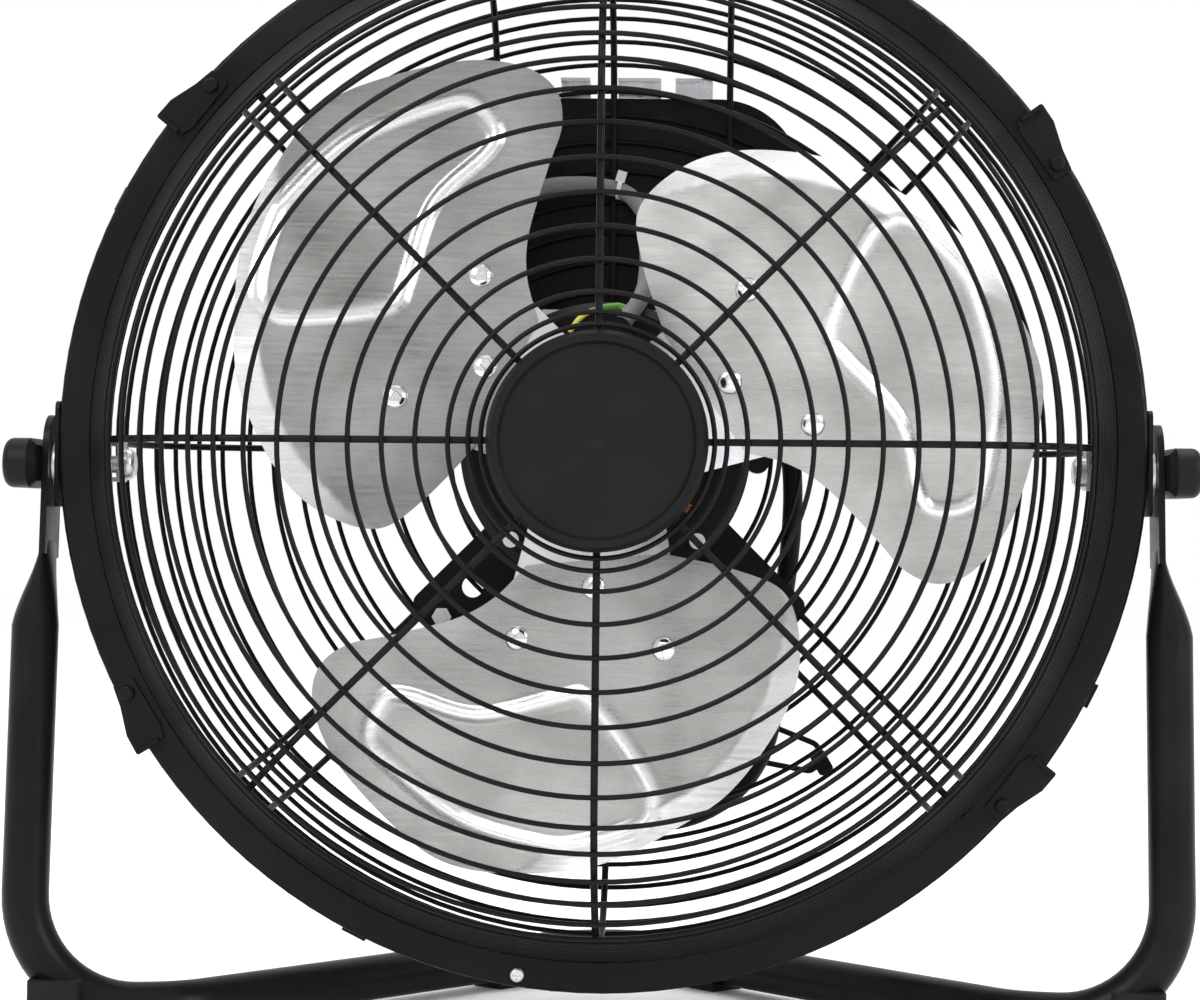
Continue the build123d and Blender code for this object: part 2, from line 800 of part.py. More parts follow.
with BuildPart() as switch_box_base:
    with BuildSketch(facing(box_front + box_wall, up=box_middle)):
        box_outline()
    extrude(amount=box_wall)
    with BuildSketch(facing(box_split, up=box_middle)):
        box_outline()
        offset(amount=-box_wall, mode=Mode.SUBTRACT)
    extrude(amount=box_split - box_front - box_wall)
    with BuildSketch(facing(box_split)):
        with Locations(*cover_screws):
            Circle(4)
    extrude(amount=box_split - box_front - box_wall)
    with BuildSketch(facing(box_split)):
        with Locations(*cover_screws):
            Circle(motor_screw + screw_gap)
    extrude(amount=16, mode=Mode.SUBTRACT)
    with BuildSketch(facing(box_front + box_wall)):
        with Locations(lead_hole):
            Circle(3 + screw_gap)
        with Locations(*clip_screws):
            Circle(1.6 + screw_gap)
    extrude(amount=3, mode=Mode.SUBTRACT)
    gland_hole = Plane(origin=at(gland_right, box_bottom - 1, cord_back), z_dir=(0, 0, 1))
    with BuildSketch(gland_hole):
        Circle(cord_radius)
    extrude(amount=4, mode=Mode.SUBTRACT)
switch_box_base.part.label = "switch_box_base"
export_step(switch_box_base.part, "parts/switch_box_base.step")

with BuildPart() as switch_box_cover:
    with BuildSketch(facing(box_back, up=box_middle)):
        box_outline()
    extrude(amount=box_back - box_split)
    fillet(faces().sort_by(Axis.Y)[-1].edges(), radius=2.5)
    with BuildSketch(facing(box_back - box_wall, up=box_middle)):
        box_outline()
        offset(amount=-box_wall, mode=Mode.INTERSECT)
        with Locations(*[(right, up - box_middle) for right, up in cover_screws]):
            Circle(4, mode=Mode.SUBTRACT)
    extrude(amount=box_back - box_split, mode=Mode.SUBTRACT)
    with BuildSketch(facing(box_back + 1)):
        with Locations(*cover_screws):
            Circle(motor_screw + screw_gap)
        with Locations((0, switch_up)):
            Circle(4.5 + screw_gap)
    extrude(amount=14, mode=Mode.SUBTRACT)
switch_box_cover.part.label = "switch_box_cover"
export_step(switch_box_cover.part, "parts/switch_box_cover.step")

with BuildPart() as box_screws:
    with BuildSketch(facing(box_back)):
        with Locations(*cover_screws):
            Circle(motor_screw)
    extrude(amount=26)
    with BuildSketch(facing(box_back + 1.8)):
        with Locations(*cover_screws):
            Circle(3)
    extrude(amount=1.8)
    fillet(edges().group_by(Axis.Y)[-1], radius=0.9)
    with BuildSketch(facing(92)):
        with Locations(*clip_screws):
            Circle(1.6)
    extrude(amount=13)
    with BuildSketch(facing(79.6)):
        with Locations(*clip_screws):
            Circle(3)
    extrude(amount=1.6)
box_screws.part.label = "box_screws"
export_step(box_screws.part, "parts/box_screws.step")

# Galvanised hooks lie on the box and reach over a ring of the rear cage, and clips hold it to wires
hook_spans = [(-20, -9), (1.5, 17.6), (23, 37)]
box_top = box_middle + box_tall / 2
hook_top = box_top + 7

with BuildPart() as box_hooks:
    for left, right in hook_spans:
        middle = (left + right) / 2
        with BuildSketch(Plane(origin=at(middle, 0, 0), x_dir=(0, 1, 0), z_dir=(1, 0, 0))):
            with BuildLine():
                Polyline(
                    (100, box_top), (100, box_top + sheet), (box_front + sheet, box_top + sheet),
                    (box_front + sheet, hook_top), (79.4, hook_top), (79.4, hook_top - sheet),
                    (box_front, hook_top - sheet), (box_front, box_top), close=True,
                )
            make_face()
        extrude(amount=(right - left) / 2, both=True)
    with BuildSketch(facing(80.8)):
        with Locations((-48.5, 100), (48.5, 100)):
            RectangleRounded(14, 10, 1.5)
        with Locations(*clip_screws):
            Circle(1.6 + screw_gap, mode=Mode.SUBTRACT)
    extrude(amount=1.2)
box_hooks.part.label = "box_hooks"
export_step(box_hooks.part, "parts/box_hooks.step")

with BuildPart() as rotary_switch:
    with BuildSketch(facing(118)):
        with Locations((0, switch_up)):
            Rectangle(24, 24)
            Circle(3.06, mode=Mode.SUBTRACT)
    extrude(amount=18)
    with BuildSketch(facing(122)):
        with Locations((0, switch_up)):
            Circle(4.5)
            Circle(3.06, mode=Mode.SUBTRACT)
    extrude(amount=4)
rotary_switch.part.label = "rotary_switch"
export_step(rotary_switch.part, "parts/rotary_switch.step")

with BuildPart() as speed_knob:
    with BuildSketch(facing(122 + body_gap + 15.7, 0, switch_up)):
        Circle(13)
    extrude(amount=15.7, taper=-4)
    fillet(edges().group_by(Axis.Y)[-1], radius=1.5)
    with BuildSketch(facing(122 + body_gap + 16.7, 0, switch_up)):
        with Locations((0, 7)):
            Rectangle(1.6, 9)
    extrude(amount=1.8, mode=Mode.SUBTRACT)
    with BuildSketch(facing(122 + body_gap, 0, switch_up)):
        Circle(3)
    extrude(amount=18)
speed_knob.part.label = "speed_knob"
export_step(speed_knob.part, "parts/speed_knob.step")

with BuildPart() as capacitor:
    with BuildSketch(facing(106, 38, 88)):
        RectangleRounded(34, 20, 2)
    extrude(amount=18)
capacitor.part.label = "capacitor"
export_step(capacitor.part, "parts/capacitor.step")


def bend_radii(points):
    """Arc radius at each corner of a cord's route, as large as the two runs beside it allow."""
    radii = []
    for before, corner, after in zip(points, points[1:], points[2:]):
        run_in = Vector(*corner) - Vector(*before)
        run_out = Vector(*after) - Vector(*corner)
        turn = radians(run_in.get_angle(run_out))
        radii.append(0.45 * min(run_in.length, run_out.length) / tan(turn / 2))
    return radii


def route_path(points):
    """A cord's centre line: straight runs that are joined by tangent arcs."""
    return FilletPolyline(*points, radius=bend_radii(points))


# Wiring that the head holds all the way: right, up and back of each point
lead_route = [
    (4.2, 41.5, 14.8), (13.5, 53.5, 14.8), (14.5, 66, 24), (13.5, 77, 46), (12.5, 88, 66),
    (5, 97.5, 76), (-9, 100, 77), (-22, 99.5, 77), (-31, 97, 78), (-34, 94, 85.05),
]
ground_route = [(-13, 40.5, 17), (-9, 46.3, 16.9), (-1.5, 49.6, 16.9), (5.2, 50.2, 16.6), (8, 48, 16.2)]
cord_route = [
    (60.5, 31.3, 98), (65, 14, 96), (69, -8, 93.8), (68, -35, 93), (64.5, -60, 93.6), (62.5, -86, 94),
    (60.5, -109, 94), (48, -129, 95), (25, -140, 96), (-3, -137.5, 97), (-26, -118, 98),
    (-38, -94, 99), (-43, -66, 100), (-44.4, -38, 101), (-43.2, -11, 101),
]
tail_route = [(39.3, -27, 100.8), (39.8, -39.5, 100.6), (39, -52, 100)]
lead_radius = 3.0
ground_radius = 1.0

with BuildPart() as motor_lead:
    lead_points = [at(*point) for point in lead_route]
    with BuildLine():
        lead_line = route_path(lead_points)
    with BuildSketch(start_of(lead_line)):
        Circle(lead_radius)
    sweep()
motor_lead.part.label = "motor_lead"
export_step(motor_lead.part, "parts/motor_lead.step")

with BuildPart() as ground_wire:
    ground_points = [at(*point) for point in ground_route]
    with BuildLine():
        ground_line = route_path(ground_points)
    with BuildSketch(start_of(ground_line)):
        Circle(ground_radius)
    sweep()
ground_wire.part.label = "ground_wire"
export_step(ground_wire.part, "parts/ground_wire.step")

tie_place = (2.6, 98.2, 76.3)

with BuildPart() as lead_tie:
    with BuildSketch(Plane(origin=at(*tie_place), x_dir=(0, 1, 0), z_dir=(-14, 0.8, 2.6))):
        Circle(4.1)
        Circle(3.3, mode=Mode.SUBTRACT)
    extrude(amount=0.8, both=True)
    with BuildSketch(Plane(origin=at(3.2, 102.5, 74.5), z_dir=(0.3, -0.2, 1))):
        Rectangle(3.4, 3)
    extrude(amount=2, both=True)
lead_tie.part.label = "lead_tie"
export_step(lead_tie.part, "parts/lead_tie.step")

# Power cord, wound on a hook behind the motor, with its plug hanging from the coil
gland_length = 22
coil_up = -4.1
coil_front = 89.6
coil_long = 22.5
coil_inner = 31.5
coil_outer = 46.5
plug_right = 39.0
plug_top = -52.0
plug_back = 100.0

with BuildPart() as cord_gland:
    with BuildSketch(Plane(origin=at(gland_right, box_bottom, cord_back), z_dir=(0, 0, -1))):
        Circle(5.5)
    extrude(amount=gland_length)
    fillet(edges().sort_by(Axis.Z)[0], radius=1)
cord_gland.part.label = "cord_gland"
export_step(cord_gland.part, "parts/cord_gland.step")

with BuildPart() as power_cord:
    cord_points = [at(*point) for point in cord_route]
    with BuildLine():
        cord_line = route_path(cord_points)
    with BuildSketch(start_of(cord_line)):
        Circle(cord_radius)
    sweep()
power_cord.part.label = "power_cord"
export_step(power_cord.part, "parts/power_cord.step")

with BuildPart() as cord_coil:
    with BuildSketch(facing(coil_front + coil_long, 0, coil_up)):
        Circle(coil_outer)
        Circle(coil_inner, mode=Mode.SUBTRACT)
    extrude(amount=coil_long)
cord_coil.part.label = "cord_coil"
export_step(cord_coil.part, "parts/cord_coil.step")

with BuildPart() as cord_tail:
    tail_points = [at(*point) for point in tail_route]
    with BuildLine():
        tail_line = route_path(tail_points)
    with BuildSketch(start_of(tail_line)):
        Circle(cord_radius)
    sweep()
cord_tail.part.label = "cord_tail"
export_step(cord_tail.part, "parts/cord_tail.step")

coil_middle = coil_front + coil_long / 2
coil_mean = (coil_inner + coil_outer) / 2

with BuildPart() as coil_ties:
    for angle in (150, 215):
        turn = radians(angle)
        tie_plane = Plane(
            origin=at(coil_mean * cos(turn), coil_up + coil_mean * sin(turn), coil_middle),
            x_dir=(cos(turn), 0, sin(turn)),
            z_dir=(-sin(turn), 0, cos(turn)),
        )
        with BuildSketch(tie_plane):
            RectangleRounded(17.6, 24.6, 1.5)
            Rectangle(15.4, 22.6, mode=Mode.SUBTRACT)
        extrude(amount=2.4, both=True)
coil_ties.part.label = "coil_ties"
export_step(coil_ties.part, "parts/coil_ties.step")

with BuildPart() as plug_body:
    for up, wide, deep, corner in [(0, 12, 12, 5.5), (-12, 16, 14, 6), (-20, 26, 22, 6), (-38, 27, 23, 5)]:
        with BuildSketch(Plane(origin=at(plug_right, plug_top + up, plug_back), z_dir=(0, 0, 1))):
            RectangleRounded(wide, deep, corner)
    loft(ruled=True)
plug_body.part.label = "plug_body"
export_step(plug_body.part, "parts/plug_body.step")

with BuildPart() as plug_pins:
    with BuildSketch(Plane(origin=at(plug_right, plug_top - 38, plug_back), z_dir=(0, 0, -1))):
        with Locations((-6.35, 3), (6.35, 3)):
            Rectangle(1.5, 6.35)
        with Locations((0, -7)):
            Circle(2.4)
    extrude(amount=17.5)
plug_pins.part.label = "plug_pins"
export_step(plug_pins.part, "parts/plug_pins.step")

hook_wire = 2.0
hook_stem = rear_flat + wire + hook_wire + screw_gap
hook_seat = coil_up + coil_inner - hook_wire

with BuildPart() as coil_hook:
    with BuildLine():
        hook_line = FilletPolyline(
            at(0, 50, hook_stem), at(0, hook_seat, hook_stem), at(0, hook_seat, 117), at(0, 38, 117),
            radius=4,
        )
    with BuildSketch(start_of(hook_line)):
        Circle(hook_wire)
    sweep()
coil_hook.part.label = "coil_hook"
export_step(coil_hook.part, "parts/coil_hook.step")

guide_wire = 1.1
guide_back = 101.0

with BuildPart() as cord_guide:
    with BuildLine():
        guide_line = FilletPolyline(
            at(50, -98.5, 86.2), at(51.5, -99, guide_back), at(82, -111, guide_back),
            at(77, -120, guide_back), at(50.5, -115.2, guide_back), at(48.5, -114.6, 86.2),
            radius=[4, 5, 3, 4],
        )
    with BuildSketch(start_of(guide_line)):
        Circle(guide_wire)
    sweep()
    with BuildSketch(facing(guide_back + 1, 80.5, -116.5, angle=-60)):
        RectangleRounded(9, 6, 1.5)
    extrude(amount=2)
cord_guide.part.label = "cord_guide"
export_step(cord_guide.part, "parts/cord_guide.step")

# Carry handle on the top of the rim
handle_right = 50.0
handle_up = 217.0
handle_back = 2.0
handle_rod = 3.0
grip_radius = 8.0
grip_length = 74.0
saddle_top = 191.0

with BuildPart() as carry_handle:
    with BuildLine():
        handle_line = FilletPolyline(
            at(-handle_right, 184.5, handle_back), at(-handle_right, handle_up, handle_back),
            at(handle_right, handle_up, handle_back), at(handle_right, 184.5, handle_back),
            radius=9,
        )
    with BuildSketch(start_of(handle_line)):
        Circle(handle_rod)
    sweep()
carry_handle.part.label = "carry_handle"
export_step(carry_handle.part, "parts/carry_handle.step")

with BuildPart() as handle_grip:
    with BuildSketch(Plane(origin=at(0, handle_up, handle_back), x_dir=(0, 1, 0), z_dir=(1, 0, 0))):
        Circle(grip_radius)
    extrude(amount=grip_length / 2, both=True)
    fillet(edges(), radius=2)
    with BuildSketch(Plane(origin=at(0, handle_up, handle_back), x_dir=(0, 1, 0), z_dir=(1, 0, 0))):
        Circle(handle_rod + screw_gap)
    extrude(amount=grip_length, both=True, mode=Mode.SUBTRACT)
handle_grip.part.label = "handle_grip"
export_step(handle_grip.part, "parts/handle_grip.step")

with BuildPart() as handle_brackets:
    for side in (-1, 1):
        with BuildSketch(facing(handle_back + 7)):
            with Locations((side * handle_right, (178 + saddle_top) / 2)):
                Rectangle(13, saddle_top - 178)
            Circle(rim_radius + screw_gap, mode=Mode.SUBTRACT)
        extrude(amount=14)
        with BuildSketch(Plane(origin=at(side * handle_right, 170, handle_back), z_dir=(0, 0, 1))):
            Circle(handle_rod + screw_gap)
        extrude(amount=30, mode=Mode.SUBTRACT)
handle_brackets.part.label = "handle_brackets"
export_step(handle_brackets.part, "parts/handle_brackets.step")

for title, points, radius, block, line in [
    ("motor_lead", lead_points, lead_radius, motor_lead, lead_line),
    ("ground_wire", ground_points, ground_radius, ground_wire, ground_line),
    ("power_cord", cord_points, cord_radius, power_cord, cord_line),
    ("cord_tail", tail_points, cord_radius, cord_tail, tail_line),
]:
    radii = " ".join(f"{bend:.0f}" for bend in bend_radii(points))
    ideal = 3.14159 * radius**2 * line.length
    print(title, "radii", radii, "length", round(line.length, 1), "volume", round(block.part.volume / ideal, 4))
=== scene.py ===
import json
from math import acos, atan2, cos, degrees, radians, sin, sqrt, tau

import bmesh
import bpy
from mathutils import Matrix, Vector


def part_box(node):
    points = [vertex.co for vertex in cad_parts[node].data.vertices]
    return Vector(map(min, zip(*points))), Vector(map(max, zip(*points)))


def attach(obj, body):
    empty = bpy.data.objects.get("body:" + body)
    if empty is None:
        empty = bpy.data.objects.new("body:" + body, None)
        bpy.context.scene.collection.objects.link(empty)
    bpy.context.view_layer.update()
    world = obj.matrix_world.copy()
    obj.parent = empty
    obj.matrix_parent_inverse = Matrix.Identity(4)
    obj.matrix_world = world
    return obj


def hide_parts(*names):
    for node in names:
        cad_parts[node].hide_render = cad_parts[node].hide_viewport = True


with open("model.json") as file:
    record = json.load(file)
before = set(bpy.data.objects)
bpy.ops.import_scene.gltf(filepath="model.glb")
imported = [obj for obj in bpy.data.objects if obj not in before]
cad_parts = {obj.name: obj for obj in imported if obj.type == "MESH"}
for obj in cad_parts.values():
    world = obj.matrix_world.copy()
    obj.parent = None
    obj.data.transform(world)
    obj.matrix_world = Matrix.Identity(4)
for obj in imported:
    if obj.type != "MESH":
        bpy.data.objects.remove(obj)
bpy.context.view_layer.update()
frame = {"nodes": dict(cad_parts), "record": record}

scene = bpy.context.scene
nodes = frame["nodes"]

# Places that the whole scene is worked out from, in metres
joints = {joint["name"]: joint for joint in frame["record"]["behaviour"]["joints"]}
axle = Vector(joints["rotor_spin"]["pos_m"])
rim_middle = axle.y
blade_angles = [27, 147, 267]
mm = 0.001


def at(right, up, back):
    """A point given in millimetres from the middle of the rim, in metres."""
    return Vector((right * mm, rim_middle + back * mm, axle.z + up * mm))


def around_axle(outwards, across, turn):
    """How far right and how far up a place in the rim's plane lies, once turned by an angle in radians."""
    return outwards * cos(turn) - across * sin(turn), outwards * sin(turn) + across * cos(turn)


def ease(value, low, high):
    """Smooth rise from 0 at low to 1 at high."""
    share = min(1, max(0, (value - low) / (high - low)))
    return share * share * (3 - 2 * share)


# Camera, at the height and distance that the fan was seen from
camera_distance = 1.05
camera_height = 0.1753
camera_offset = 0.0354
camera_place = Vector((camera_offset, rim_middle - camera_distance, camera_height))
camera_turn = -0.0135
camera_tilt = 0.038
camera_roll = 0.0095
camera_data = bpy.data.cameras.new("camera")
camera_data.sensor_width = 36
camera_data.lens = 90.8
camera_data.shift_x = -0.054
camera_data.shift_y = -0.074
camera = bpy.data.objects.new("camera", camera_data)
scene.collection.objects.link(camera)
forward = Vector((
    sin(camera_turn) * cos(camera_tilt), cos(camera_turn) * cos(camera_tilt), sin(camera_tilt),
))
level = Vector((cos(camera_turn), -sin(camera_turn), 0))
upright = level.cross(forward)
camera_right = cos(camera_roll) * level + sin(camera_roll) * upright
camera_up = cos(camera_roll) * upright - sin(camera_roll) * level
facing = Matrix((camera_right, camera_up, -forward)).transposed().to_4x4()
camera.matrix_world = Matrix.Translation(camera_place) @ facing
scene.camera = camera


# Materials
def tinted(colour, factor):
    """The colour made darker or lighter, up to white."""
    return tuple(min(1, factor * part) for part in colour)


class Shade:
    """A material's nodes, with short calls for the ones that repeat."""

    def __init__(self, name, colour, roughness=0.5, metallic=0.0):
        self.material = bpy.data.materials.new(name)
        self.material.use_nodes = True
        self.tree = self.material.node_tree
        self.shader = self.tree.nodes["Principled BSDF"]
        self.put("Base Color", (*colour, 1))
        self.put("Roughness", roughness)
        self.put("Metallic", metallic)
        self.place = self.tree.nodes.new("ShaderNodeTexCoord").outputs["Object"]

    def put(self, socket, value):
        self.shader.inputs[socket].default_value = value

    def link(self, source, target):
        self.tree.links.new(source, target)

    def noise(self, scale, detail=4, stretch=(1, 1, 1)):
        mapping = self.tree.nodes.new("ShaderNodeMapping")
        mapping.inputs["Scale"].default_value = stretch
        self.link(self.place, mapping.inputs["Vector"])
        texture = self.tree.nodes.new("ShaderNodeTexNoise")
        texture.inputs["Scale"].default_value = scale
        texture.inputs["Detail"].default_value = detail
        self.link(mapping.outputs["Vector"], texture.inputs["Vector"])
        return texture.outputs["Fac"]

    def spread(self, source, low, high, into="Roughness", span=(0.3, 0.7)):
        """A value or colour that runs from low to high with the source."""
        if isinstance(low, tuple):
            ramp = self.tree.nodes.new("ShaderNodeValToRGB")
            ramp.color_ramp.elements[0].position = span[0]
            ramp.color_ramp.elements[1].position = span[1]
            ramp.color_ramp.elements[0].color = (*low, 1)
            ramp.color_ramp.elements[1].color = (*high, 1)
            self.link(source, ramp.inputs["Fac"])
            self.link(ramp.outputs["Color"], self.shader.inputs[into])
            return
        change = self.tree.nodes.new("ShaderNodeMapRange")
        change.inputs["From Min"].default_value = span[0]
        change.inputs["From Max"].default_value = span[1]
        change.inputs["To Min"].default_value = low
        change.inputs["To Max"].default_value = high
        self.link(source, change.inputs["Value"])
        self.link(change.outputs["Result"], self.shader.inputs[into])

    def bump(self, source, height, strength=0.4):
        bump = self.tree.nodes.new("ShaderNodeBump")
        bump.inputs["Strength"].default_value = strength
        bump.inputs["Distance"].default_value = height
        self.link(source, bump.inputs["Height"])
        self.link(bump.outputs["Normal"], self.shader.inputs["Normal"])


def powder_coat(name="black_powder_coat", colour=(0.0068, 0.0058, 0.006), roughness=0.3):
    """Satin black powder coat, with its fine orange peel."""
    shade = Shade(name, colour, roughness)
    shade.put("Specular IOR Level", 0.1)
    peel = shade.noise(900, 3)
    patches = shade.noise(35, 5)
    shade.spread(patches, roughness - 0.06, roughness + 0.09)
    shade.spread(patches, tinted(colour, 0.8), tinted(colour, 1.35), "Base Color")
    shade.bump(peel, 0.00006, 0.35)
    return shade.material


def rubber(name, colour, roughness=0.62):
    """Matt moulded rubber."""
    shade = Shade(name, colour, roughness)
    shade.put("Specular IOR Level", 0.12)
    grain = shade.noise(1400, 2)
    dust = shade.noise(60, 6)
    shade.spread(dust, roughness - 0.08, roughness + 0.12)
    shade.spread(dust, colour, tinted(colour, 1.7), "Base Color")
    shade.bump(grain, 0.00008, 0.3)
    return shade.material


def moulded(name, colour, roughness=0.42):
    """Moulded plastic with a fine grain."""
    shade = Shade(name, colour, roughness)
    shade.put("Specular IOR Level", 0.12)
    grain = shade.noise(1800, 2)
    tone = shade.noise(50, 4)
    shade.spread(tone, roughness - 0.05, roughness + 0.08)
    shade.spread(tone, tinted(colour, 0.9), tinted(colour, 1.2), "Base Color")
    shade.bump(grain, 0.00005, 0.3)
    return shade.material


def bare_metal(name, colour, roughness, streak):
    """Rolled or plated metal, with fine streaks."""
    shade = Shade(name, colour, roughness, 1.0)
    lines = shade.noise(60, 6, streak)
    blotches = shade.noise(22, 5)
    shade.spread(lines, roughness - 0.08, roughness + 0.1)
    shade.spread(blotches, tinted(colour, 0.86), tinted(colour, 1.06), "Base Color")
    shade.bump(lines, 0.00004, 0.25)
    return shade.material


def rolled_aluminium():
    """Bright rolled aluminium sheet with fine lines, and a painted highlight on the pressed bead and lip.
    """
    shade = Shade("rolled_aluminium", (0.4, 0.393, 0.383), 0.26, 1.0)
    lines = shade.noise(90, 5, (0.5, 1, 9))
    smudges = shade.noise(26, 4)
    dull = shade.tree.nodes.new("ShaderNodeValToRGB")
    dull.color_ramp.elements[0].position = 0.34
    dull.color_ramp.elements[0].color = (0.31, 0.303, 0.293, 1)
    dull.color_ramp.elements[1].position = 0.66
    dull.color_ramp.elements[1].color = (0.45, 0.443, 0.433, 1)
    shade.link(smudges, dull.inputs["Fac"])
    # Painted highlight: where the blade mesh marks the bead and the lip, the base colour is mixed towards
    # light grey.
    painted_highlight = shade.tree.nodes.new("ShaderNodeAttribute")
    painted_highlight.attribute_name = "painted_highlight"
    highlight_mix = shade.tree.nodes.new("ShaderNodeMixRGB")
    highlight_mix.inputs["Color2"].default_value = (0.82, 0.82, 0.82, 1)
    shade.link(painted_highlight.outputs["Fac"], highlight_mix.inputs["Fac"])
    shade.link(dull.outputs["Color"], highlight_mix.inputs["Color1"])
    shade.link(highlight_mix.outputs["Color"], shade.shader.inputs["Base Color"])
    shade.spread(lines, 0.2, 0.36)
    shade.bump(lines, 0.00004, 0.15)
    return shade.material


def wound_copper():
    """Varnished copper wire, wound round the axle."""
    shade = Shade("wound_copper", (0.42, 0.17, 0.06), 0.35, 0.9)
    bands = shade.tree.nodes.new("ShaderNodeTexWave")
    bands.wave_type = "RINGS"
    bands.rings_direction = "Y"
    bands.inputs["Scale"].default_value = 260
    bands.inputs["Distortion"].default_value = 0.6
    shade.link(shade.place, bands.inputs["Vector"])
    shade.spread(bands.outputs["Fac"], (0.3, 0.1, 0.035), (0.5, 0.21, 0.08), "Base Color", (0, 1))
    shade.bump(bands.outputs["Fac"], 0.0003, 0.6)
    return shade.material


def striped_wire():
    """Yellow insulation with green stripes along it."""
    shade = Shade("striped_wire", (0.5, 0.6, 0.05), 0.35)
    stripe = shade.noise(240, 0, (0.25, 1, 1))
    shade.spread(stripe, (0.08, 0.3, 0.04), (0.75, 0.72, 0.08), "Base Color", (0.47, 0.5))
    return shade.material


black = powder_coat()
blade_metal = rolled_aluminium()
zinc = bare_metal("zinc_plate", (0.66, 0.67, 0.69), 0.3, (4, 1, 1))
looks = {
    "black_powder_coat": black,
    "black_rubber": rubber("black_rubber", (0.007, 0.007, 0.0073)),
    "cord_jacket": rubber("cord_jacket", (0.007, 0.007, 0.0075), 0.5),
    "black_plastic": moulded("black_plastic", (0.0065, 0.006, 0.0065)),
    "brushed_aluminium": blade_metal,
    "zinc_plated_steel": zinc,
    "laminated_steel": bare_metal("laminated_steel", (0.35, 0.35, 0.36), 0.45, (1, 40, 1)),
    "copper_winding": wound_copper(),
    "white_tie": moulded("white_tie", (0.78, 0.77, 0.72), 0.4),
    "ground_insulation": striped_wire(),
    "capacitor_case": moulded("capacitor_case", (0.06, 0.06, 0.07), 0.3),
    "brass_pins": bare_metal("brass_pins", (0.72, 0.55, 0.27), 0.25, (1, 1, 6)),
}
slot_of = {row["node"]: row["material_slot"] for row in frame["record"]["subparts"]}
for name, node in nodes.items():
    node.data.materials.clear()
    node.data.materials.append(looks[slot_of[name]])

grey_sheath = moulded("grey_sheath", (0.2, 0.2, 0.205), 0.5)
nodes["motor_lead"].data.materials[0] = grey_sheath
shiny_zinc = bare_metal("bright_rivet", (0.86, 0.86, 0.87), 0.12, (1, 1, 1))
for name in ("blade_rivets", "hub_nut"):
    nodes[name].data.materials[0] = shiny_zinc
nodes["latch_rivets"].data.materials[0] = black


# Pieces
def add_piece(name, data, body, material, stands_for=(), place=None):
    """A new piece that rides on a body, with its material and slot."""
    piece = bpy.data.objects.new(name, data)
    scene.collection.objects.link(piece)
    if place:
        piece.matrix_world = place
        bpy.context.view_layer.update()
    data.materials.append(material)
    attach(piece, body)
    if stands_for:
        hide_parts(*stands_for)
    return piece


def smooth_mesh(name, points, faces):
    """A mesh with smooth shading, from its points and faces."""
    mesh = bpy.data.meshes.new(name)
    mesh.from_pydata(points, [], faces)
    mesh.validate()
    mesh.polygons.foreach_set("use_smooth", [True] * len(mesh.polygons))
    mesh.update()
    return mesh


def tube_mesh(name, path, radii, sides=16, closed=False):
    """Round tube along a path, with a radius at each point. Its ends are closed unless it is a ring."""
    count = len(path)
    points = []
    across = None
    for place, point in enumerate(path):
        before = path[(place - 1) % count] if closed or place else point
        after = path[(place + 1) % count] if closed or place < count - 1 else point
        along = (after - before).normalized()
        if across is None:
            across = along.orthogonal().normalized()
        across = (across - along * across.dot(along)).normalized()
        other = along.cross(across)
        for step in range(sides):
            turn = tau * step / sides
            points.append(point + radii[place] * (cos(turn) * across + sin(turn) * other))
    faces = []
    for place in range(count if closed else count - 1):
        here = place * sides
        there = (place + 1) % count * sides
        for step in range(sides):
            turn = (step + 1) % sides
            faces.append((here + step, here + turn, there + turn, there + step))
    if not closed:
        faces.append(tuple(reversed(range(sides))))
        faces.append(tuple(range((count - 1) * sides, count * sides)))
    return smooth_mesh(name, points, faces)


# Cord: the same route as its solids, with the coil's turns between them
cord_diameter = 0.0075
cord_route = [
    (60.5, 31.3, 98), (65, 14, 96), (69, -8, 93.8), (68, -35, 93), (64.5, -60, 93.6), (62.5, -86, 94),
    (60.5, -109, 94), (48, -129, 95), (25, -140, 96), (-3, -137.5, 97), (-26, -118, 98),
    (-38, -94, 99), (-43, -66, 100),
]
tail_route = [(39.3, -27, 100.8), (39.8, -39.5, 100.6), (39, -52, 100)]
coil_up = -4.1
coil_points = 16


def coil_turns():
    """The coil's turns, clockwise from the front: three beside each other, on two layers."""
    inner, outer = 35.4, 42.7
    front_row, middle_row, back_row, last_row = 93.6, 101.0, 108.2, 100.4
    start_angle, turns = 193, 5.58
    climb_start = 0.62
    order = [
        (outer, middle_row), (outer, back_row), (inner, back_row), (inner, middle_row), (inner, front_row),
        (outer, front_row), (outer, last_row),
    ]
    points = []
    for step in range(int(turns * coil_points) + 1):
        turn = step / coil_points
        lap = int(turn)
        climb = ease(turn - lap, climb_start, 1)
        low, high = order[lap], order[min(lap + 1, len(order) - 1)]
        radius = low[0] + (high[0] - low[0]) * climb
        back = low[1] + (high[1] - low[1]) * climb
        angle = radians(start_angle - 360 * turn)
        points.append((radius * cos(angle), coil_up + radius * sin(angle), back))
    return points


cord_points = [at(*point) for point in cord_route + coil_turns() + tail_route]
cord_data = bpy.data.curves.new("mains_cord", "CURVE")
cord_data.dimensions = "3D"
cord_data.bevel_depth = cord_diameter / 2
cord_data.bevel_resolution = 5
cord_data.use_fill_caps = True
spline = cord_data.splines.new("NURBS")
spline.points.add(len(cord_points) - 1)
for control, point in zip(spline.points, cord_points):
    control.co = (*point, 1)
spline.order_u = 3
spline.use_endpoint_u = True
spline.resolution_u = 8
cord = add_piece(
    "mains_cord", cord_data, "head", looks["cord_jacket"],
    ("power_cord", "cord_coil", "cord_tail"),
)


